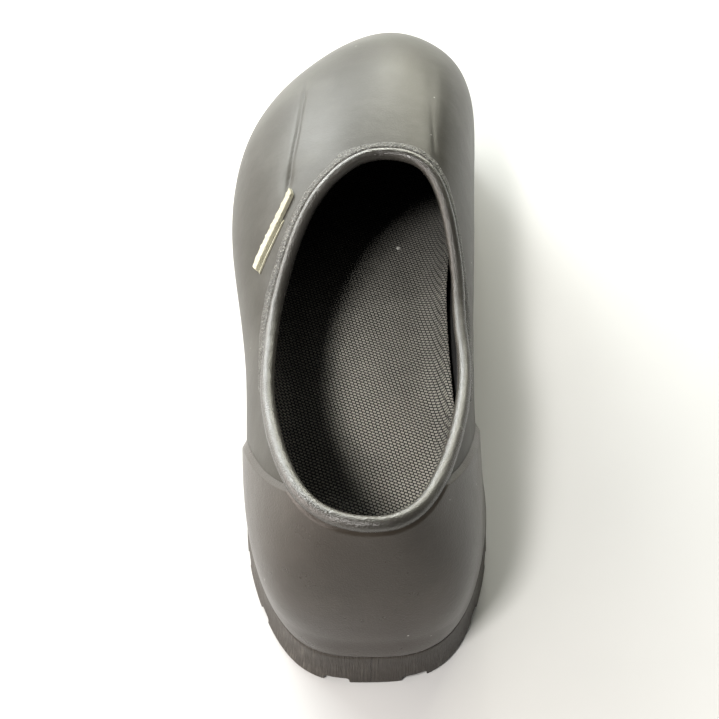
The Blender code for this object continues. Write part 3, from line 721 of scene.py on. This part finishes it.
def build_bead():
    """Rolled edge: a full round roll, slightly uneven, that widens behind the heel."""
    sides = 28
    place = np.linspace(0.0, 1.0, 900, endpoint=False)
    one = np.ones_like(place)
    radius = bead_radius(place)
    normal = outward(place, one)
    centre = surface(place, one) - normal * BEAD_INSET
    along = np.roll(centre, -1, axis=0) - np.roll(centre, 1, axis=0)
    side = np.cross(along, normal)
    side = side / np.linalg.norm(side, axis=1, keepdims=True)
    across = np.cross(side, along)
    across = across / np.linalg.norm(across, axis=1, keepdims=True)
    angle = 2.0 * np.pi * np.arange(sides) / sides
    turn = place * 2.0 * np.pi
    wobble = 1.0 + 0.012 * np.sin(turn * 23.0) + 0.01 * np.sin(turn * 41.0 + 1.0)
    rows = []
    for a in angle:
        arm = math.cos(a) * across + math.sin(a) * side
        rows.append(centre + arm * (radius * wobble)[:, None])
    rows = np.array(rows)
    faces = grid_faces(sides, len(place), True, True)
    piece = place_mesh("rolled_collar", rows, faces, arc_coordinates(rows))
    finish_piece(piece, BEAD_LOOK, "bead_rubber", "collar_bead")


def build_trim():
    """Grained strip outside the roll, widened where its two lengths meet on the toe side."""
    rng = np.random.default_rng(7)
    steps = 1300
    rows = 10
    first, last = 0.138, 0.873
    joint = 0.462
    tuck = 0.9
    clear = 0.03
    place = np.linspace(first, last, steps)
    one = np.ones_like(place)
    rim = surface(place, one)
    run = np.concatenate([[0.0], np.cumsum(np.linalg.norm(np.diff(rim, axis=0), axis=1))])
    left = run - run[0]
    right = run[-1] - run
    width = TRIM_WIDTH * smooth(left, -1.0, 6.0) * smooth(right, -0.5, 1.5)
    width = width * (1.0 + 0.05 * np.sin(run / 3.1) + 0.04 * np.sin(run / 1.3))
    width = width + 1.6 * bump_curve(place, joint, 0.012)
    grain = rng.normal(0.0, 1.0, (rows, steps))
    grain = 0.5 * grain + 0.25 * (np.roll(grain, 1, axis=1) + np.roll(grain, -1, axis=1))
    layers = []
    for outer in (True, False):
        layer = []
        for r in range(rows):
            share = 1.0 - r / (rows - 1)
            reach = bead_radius(place) - tuck + share * (width + tuck)
            at, level = below_rim(place, reach)
            if outer:
                edge = min(share, 1.0 - share)
                body = TRIM_THICK * smooth(edge, -0.12, 0.22)
                offset = 0.12 + body + 0.09 * grain[r] * smooth(edge, 0.0, 0.15)
            else:
                offset = np.full(steps, clear)
            offset = offset * smooth(left, -0.3, 1.5) * smooth(right, -0.3, 1.5)
            layer.append(surface(at, level) + outward(at, level) * offset[:, None])
        layers.append(layer)
    piece = wall_piece("grained_trim", layers[0], layers[1], False)
    finish_piece(piece, TRIM_LOOK, "trim_rubber", "collar_trim")


def badge_middle(share):
    """Places and levels of the bar's middle line, on a curve through its three listed points."""
    front, centre, back = np.array(BADGE_PATH)
    s = share[:, None]
    line = front * (1.0 - s) * (1.0 - 2.0 * s) + centre * 4.0 * s * (1.0 - s) + back * s * (2.0 * s - 1.0)
    return line[:, 0], line[:, 1]


def badge_relief(share, run, end_gap, across, half):
    """Height of the bar and of its rail over their base, along a line at a distance from the middle."""
    bar_low, bar_high = -half, 1.2
    rail_low, rail_high = 2.0, half - 0.2
    wave = 0.12 * np.sin(run * 1.45) + 0.1 * np.sin(run * 2.9 + 1.0)
    bar_edge = np.minimum(np.minimum(across - bar_low - 0.2 - wave, bar_high - across), end_gap - 0.3)
    corner = np.maximum(0.0, 1.6 - end_gap) ** 2 * 0.35
    bar_edge = bar_edge - corner * abs(across - 0.5 * (bar_low + bar_high)) / half
    bar = BADGE_THICK * smooth(bar_edge, -0.15, 0.6)
    face = 0.1 * np.sin(run * 2.3 + across) * np.sin(run * 0.9 + 2.0) * smooth(bar_edge, 0.0, 0.6)
    rail_edge = np.minimum(np.minimum(across - rail_low, rail_high - across), end_gap - 0.4)
    rail = RAIL_RISE * smooth(rail_edge, -0.1, 0.25) * smooth(share, 0.28, 0.36)
    return bar + face + rail


def build_badge():
    """Plain cream bar with an uneven moulded face, and a thin rail beside it, on a thin base strip."""
    steps, rows = 241, 45
    share = np.linspace(0.0, 1.0, steps)
    place, middle = badge_middle(share)
    nudge = 0.01
    rise = surface(place, middle + nudge) - surface(place, middle - nudge)
    speed = np.linalg.norm(rise, axis=1) / (2.0 * nudge)
    length = np.linalg.norm(np.diff(surface(place, middle), axis=0), axis=1).sum()
    run = share * length
    end_gap = np.minimum(run, length - run)
    half = 0.5 * BADGE_WIDTH + BADGE_OVERHANG
    front, back = [], []
    for across in np.linspace(-half, half, rows):
        level = middle + across / speed
        point = surface(place, level)
        normal = outward(place, level)
        relief = badge_relief(share, run, end_gap, across, half)
        front.append(point + normal * (BADGE_BASE + relief)[:, None])
        back.append(point + normal * 2.0 * BADGE_BASE)
    piece = wall_piece("side_bar", front, back, False)
    finish_piece(piece, BADGE_LOOK, "badge_plastic", "side_badge")


def build_stiffener(name, node, start_place, end_place, shares):
    """Felt stiffener against the inside of the upper, between two places and two shares of its height."""
    place = np.linspace(start_place, end_place, 120)
    top = below_rim(place, bead_radius(place) + GAP)[1]
    skin = UPPER_THICK + 0.25
    layers = []
    for depth in (skin, skin + STIFFENER_THICK):
        level = np.linspace(shares[0], shares[1], 30)[:, None] * top[None, :]
        at = np.broadcast_to(place, level.shape)
        points = surface(at, level) - outward(at, level) * depth
        points[0, :, 2] = SOLE_LINE + spring(points[0, :, 1])
        layers.append(points)
    piece = wall_piece(name, layers[0], layers[1], False)
    finish_piece(piece, FELT_LOOK, "stiffener_board", node)


# ---------------------------------------------------------------- sole and footbed

SOLE_COLUMNS = 720
CUP_COLUMNS = 480
CROSS_GROOVES = (26.0, 48.0, 70.0, 130.0, 152.0, 174.0, 196.0, 218.0, 240.0, 260.0)
CROSS_WIDTH = 6.0
HEEL_GROOVES = (8.0, -19.0)
HEEL_GROOVE_WIDTH = 9.0
HEEL_GROOVE_ENDS = (-20.0, 24.0)
CENTRE_GROOVE = -2.0
CENTRE_GROOVE_ENDS = (133.0, 262.0)
CENTRE_STEPS = 6
PAST_EDGE = 80.0


def sole_outline(offset):
    """Plan outline of the sole line, moved outwards by offset."""
    place = side_places(SOLE_COLUMNS)
    level = np.zeros_like(place)
    point = surface(place, level)[:, :2]
    normal = outward(place, level)[:, :2]
    normal = normal / np.linalg.norm(normal, axis=1, keepdims=True)
    return point + normal * np.broadcast_to(offset, place.shape)[:, None]


def flat_ring(outline, share, height):
    """One ring of a flat layer: the outline drawn towards the line that the layer closes on."""
    centre_t = np.clip(outline[:, 1], HEEL_CENTRE, TOE_CENTRE)
    mirror = outline[(-np.arange(len(outline))) % len(outline)]
    centre = np.column_stack([0.5 * (outline[:, 0] + mirror[:, 0]), centre_t])
    plan = centre + (outline - centre) * share
    return np.column_stack([plan, np.broadcast_to(height(plan[:, 1]), len(plan))])


def ground(t):
    """Height of the sole's lower face, hollowed a little at the arch."""
    return spring(t) + ARCH_RISE * np.exp(-((t - ARCH_PLACE) / ARCH_REACH) ** 2)


def groove_block(middle, half, depth, length, lengthwise):
    """Closed block for one tread groove: round-cornered roof, mouth flared at the ground."""
    corner = 1.4
    flare = 1.0
    profile = [(-half - 1.4, -6.0), (-half - flare, 0.0), (-half, 1.2)]
    for k in range(5):
        angle = math.pi - 0.5 * math.pi * k / 4
        out = corner * math.cos(angle)
        up = corner * math.sin(angle)
        profile.append((-half + corner + out, depth - corner + up))
    profile += [(-a, z) for a, z in profile[::-1]]
    points = []
    for end in length:
        for a, z in profile:
            points.append((middle + a, end, z) if lengthwise else (end, middle + a, z))
    count = len(profile)
    faces = [list(range(count)), list(range(2 * count - 1, count - 1, -1))]
    faces += [[k, (k + 1) % count, count + (k + 1) % count, count + k] for k in range(count)]
    return points, faces


def cut(piece, blocks):
    """Cut a set of separate blocks out of a piece."""
    points, faces = [], []
    for block_points, block_faces in blocks:
        faces += [[len(points) + k for k in face] for face in block_faces]
        points += block_points
    tool = place_mesh("cutter", np.array(points, dtype=float), faces)
    modifier = piece.modifiers.new("cut", "BOOLEAN")
    modifier.operation = "DIFFERENCE"
    modifier.solver = "EXACT"
    modifier.object = tool
    bpy.context.view_layer.update()
    evaluated = piece.evaluated_get(bpy.context.evaluated_depsgraph_get())
    result = bpy.data.meshes.new_from_object(evaluated)
    piece.modifiers.clear()
    piece.data = result
    bpy.data.objects.remove(tool, do_unlink=True)


def sole_rings():
    """Rings of the sole's cup: its lower face, its hollow side wall, its ledge and its inside."""
    heel = heel_share(sole_outline(0.0)[:, 1])
    foot_out = FOOT_OUT + FOOT_HEEL_EXTRA * heel
    ledge_out = LEDGE_OUT + LEDGE_HEEL_EXTRA * heel
    seat = SOLE_LINE - GAP
    foot_round = 1.3
    high = seat - 1.0
    rings = []
    bottom = sole_outline(foot_out - foot_round)
    for share in (0.2, 0.4, 0.6, 0.8, 0.92, 1.0):
        rings.append(flat_ring(bottom, share, ground))
    for out, up in ((0.6, 0.15), (0.15, 0.6), (0.0, foot_round)):
        rings.append(flat_ring(sole_outline(foot_out - out), 1.0, lambda t, up=up: ground(t) + up))

    def wall_height(t, share):
        rise = foot_round + (high - foot_round) * share
        return ground(t) * (1.0 - share) + spring(t) * share + rise

    for share in np.linspace(0.08, 0.92, 9):
        out = foot_out + (ledge_out - foot_out) * share - 0.45 * math.sin(math.pi * share)
        rings.append(flat_ring(sole_outline(out), 1.0, lambda t, share=share: wall_height(t, share)))
    for out, down in ((0.0, 1.0), (0.12, 0.45), (0.45, 0.1), (0.9, 0.0)):
        edge = sole_outline(ledge_out - out)
        rings.append(flat_ring(edge, 1.0, lambda t, down=down: spring(t) + seat - down))
    cup = sole_outline(-CUP_WALL)
    rings.append(flat_ring(cup, 1.0, lambda t: spring(t) + seat))
    for share in (1.0, 0.75, 0.35):
        rings.append(flat_ring(cup, share, lambda t: spring(t) + CUP_FLOOR))
    return rings


def build_outsole():
    """Moulded cup, with a tread cut into it by round-cornered grooves."""
    piece = stack_piece("treaded_outsole", sole_rings())
    cross = []
    for t in CROSS_GROOVES:
        depth = TREAD_DEPTH + float(spring(t))
        cross.append(groove_block(t, 0.5 * CROSS_WIDTH, depth, (-PAST_EDGE, PAST_EDGE), False))
    cut(piece, cross)
    heel = []
    for x in HEEL_GROOVES:
        heel.append(groove_block(x, 0.5 * HEEL_GROOVE_WIDTH, TREAD_DEPTH, HEEL_GROOVE_ENDS, True))
    stops = np.linspace(*CENTRE_GROOVE_ENDS, CENTRE_STEPS + 1)
    centre = []
    for start, end in zip(stops[:-1], stops[1:]):
        depth = TREAD_DEPTH + float(spring(0.5 * (start + end)))
        length = (start - 1.0, end + 1.0)
        centre.append(groove_block(CENTRE_GROOVE, 0.5 * CROSS_WIDTH, depth, length, True))
    cut(piece, heel + centre[0::2])
    cut(piece, centre[1::2])
    for polygon in piece.data.polygons:
        polygon.use_smooth = True
    sharp = piece.modifiers.new("sharp", "EDGE_SPLIT")
    sharp.split_angle = math.radians(38.0)
    finish_piece(piece, SOLE_LOOK, "sole_rubber", "outsole")


def cup_ring(rise, inset):
    """Ring of the footbed's cup: a height above the sole line, and a distance inside the clearance."""
    start = UPPER_THICK + STIFFENER_THICK + LINING_THICK + 2.0 * GAP + FOOTBED_CLEARANCE
    place = side_places(CUP_COLUMNS)
    base = surface(place, np.zeros(CUP_COLUMNS))
    fade = np.clip((base[:, 1] - CUP_FADE[0]) / (CUP_FADE[1] - CUP_FADE[0]), 0.0, 1.0)
    height = FOAM_THICK + (rise - FOAM_THICK) * (1.0 - (1.0 - CUP_TOE_SHARE) * fade)
    speed = (len(RINGS) - 1) * (RINGS[1, :, 2] - RINGS[0, :, 2]).mean()
    level = height / speed
    inner_side = place > KNOTS[TOE_STATION]
    waist = WAIST_INSET * bump_curve(base[:, 1], WAIST_PLACE, WAIST_REACH) * inner_side
    heel = HEEL_INSET * smooth(-base[:, 1], -HEEL_INSET_FADE[1], -HEEL_INSET_FADE[0])
    point = surface(place, level) - outward(place, level) * (start + inset + waist + heel)[:, None]
    point[:, 2] = SOLE_LINE + height + spring(point[:, 1])
    return point


def build_footbed():
    """Cupped foam body, and the woven cover that is bonded over it and turned down at its edge."""
    outline = cup_ring(0.0, 0.0)[:, :2]
    top = SOLE_LINE + FOAM_THICK
    middle = 0.12
    flat = np.array(((middle, 0.0),) + FLAT_PROFILE)
    cup = np.array(CUP_PROFILE)
    fine = np.linspace(0.0, len(cup) - 1.0, 13)
    cup = np.column_stack([np.interp(fine, range(len(cup)), cup[:, k]) for k in range(3)])
    shares = np.linspace(flat[0, 0], flat[-1, 0], 20)

    def layer(shift):
        rings = []
        for share in shares:
            height = top + np.interp(share, flat[:, 0], flat[:, 1]) + shift
            rings.append(flat_ring(outline, share, lambda t, height=height: height + spring(t)))
        rings += [cup_ring(rise + k * shift, inset + shift) for rise, inset, k in cup]
        return rings

    rise = cup[-1, 0]
    under = [flat_ring(outline, share, lambda t: SOLE_LINE + spring(t)) for share in (middle, 0.5, 0.85)]
    under += [flat_ring(outline, 0.93, lambda t: SOLE_LINE + 0.2 + spring(t)), cup_ring(2.5, 0.0)]
    rim = [cup_ring(rise - 0.4, 0.1), cup_ring(rise, 0.5)]
    foam = stack_piece("footbed_body", under + rim + layer(0.0)[::-1])
    finish_piece(foam, FOAM_LOOK, "footbed_foam", "footbed_foam")
    low, high = 0.12, COVER_THICK
    edge = [cup_ring(rise + low, 0.5), cup_ring(rise + 0.5 * high, 0.35), cup_ring(rise + high, 0.9)]
    cover = stack_piece("woven_footbed", layer(low) + edge + layer(high)[::-1])
    finish_piece(cover, WEAVE_LOOK, "footbed_weave", "footbed_cover")


build_upper()
build_lining()
build_heel_panel()
build_bead()
build_trim()
build_badge()
build_stiffener("heel_counter", "heel_stiffener", -0.165, 0.150, (0.0, 0.76))
build_stiffener("toe_stiffener", "toe_puff", 0.40, 0.62, (0.0, 0.65))
build_outsole()
build_footbed()

for node, material in (("midsole", MIDSOLE_LOOK), ("shank", STEEL_LOOK), ("insole_board", BOARD_LOOK)):
    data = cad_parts[node].data
    data.materials.clear()
    data.materials.append(material)

# ---------------------------------------------------------------- stage

LIGHT_REACH = 1.6       # metres
FLOOR_HALF = 6.0        # metres
WORLD_STRENGTH = 0.06

# Soft boxes: name, azimuth and elevation in degrees, size in metres, power in watts, colour
LIGHTS = (
    ("key", -50.0, 55.5, (0.3, 0.3), 18.0, (1.0, 0.97, 0.93)),
    ("outer", 10.0, 16.0, (1.0, 0.5), 15.0, (1.0, 0.90, 0.84)),
    ("outer_heel", -30.0, 14.0, (1.0, 0.6), 10.0, (1.0, 0.90, 0.84)),
    ("toe_outer", 50.0, 22.0, (1.0, 0.7), 31.0, (0.97, 1.0, 0.97)),
    ("toe", 75.0, 25.0, (1.0, 0.7), 20.0, (0.97, 1.0, 0.97)),
    ("toe_inner", 105.0, 22.0, (1.0, 0.6), 22.0, (1.0, 0.99, 0.84)),
)


def build_floor():
    """Plain pale floor, 12 m across."""
    mesh = bpy.data.meshes.new("floor")
    corners = [(x * FLOOR_HALF, y * FLOOR_HALF, 0.0) for x, y in ((-1, -1), (1, -1), (1, 1), (-1, 1))]
    mesh.from_pydata(corners, [], [(0, 1, 2, 3)])
    floor = bpy.data.objects.new("floor", mesh)
    bpy.context.scene.collection.objects.link(floor)
    mesh.materials.append(FLOOR_LOOK)


def add_light(name, azimuth, elevation, size, power, colour):
    """Soft box aimed at the clog; azimuth runs from its outer side (+X) towards the toe."""
    target = Vector((0.0, 0.0, 0.05))
    turn, rise = math.radians(azimuth), math.radians(elevation)
    reach = Vector((math.cos(turn) * math.cos(rise), -math.sin(turn) * math.cos(rise), math.sin(rise)))
    data = bpy.data.lights.new(name, "AREA")
    data.shape = "RECTANGLE"
    data.size, data.size_y = size
    data.energy = power
    data.color = colour
    light = bpy.data.objects.new(name, data)
    light.location = target + reach * LIGHT_REACH
    light.rotation_euler = (-reach).to_track_quat("-Z", "Y").to_euler()
    bpy.context.scene.collection.objects.link(light)


def build_camera():
    """Behind the heel, looking down into the opening towards the toe."""
    place = (0.0, -130.1, 376.5)
    pitch = math.radians(54.3)
    data = bpy.data.cameras.new("camera")
    data.sensor_width = 36.0
    data.lens = 54.8
    camera = bpy.data.objects.new("camera", data)
    camera.location = to_frame(place)
    camera.rotation_euler = (math.radians(90.0) - pitch, 0.0, math.pi)
    bpy.context.scene.collection.objects.link(camera)
    bpy.context.scene.camera = camera


def build_world():
    """Even white surround, kept dim."""
    world = bpy.data.worlds.new("studio")
    bpy.context.scene.world = world
    world.use_nodes = True
    background = world.node_tree.nodes["Background"]
    background.inputs["Color"].default_value = (1.0, 1.0, 1.0, 1.0)
    background.inputs["Strength"].default_value = WORLD_STRENGTH


build_floor()
build_camera()
for light in LIGHTS:
    add_light(*light)
build_world()
bpy.context.scene.view_settings.view_transform = "Standard"
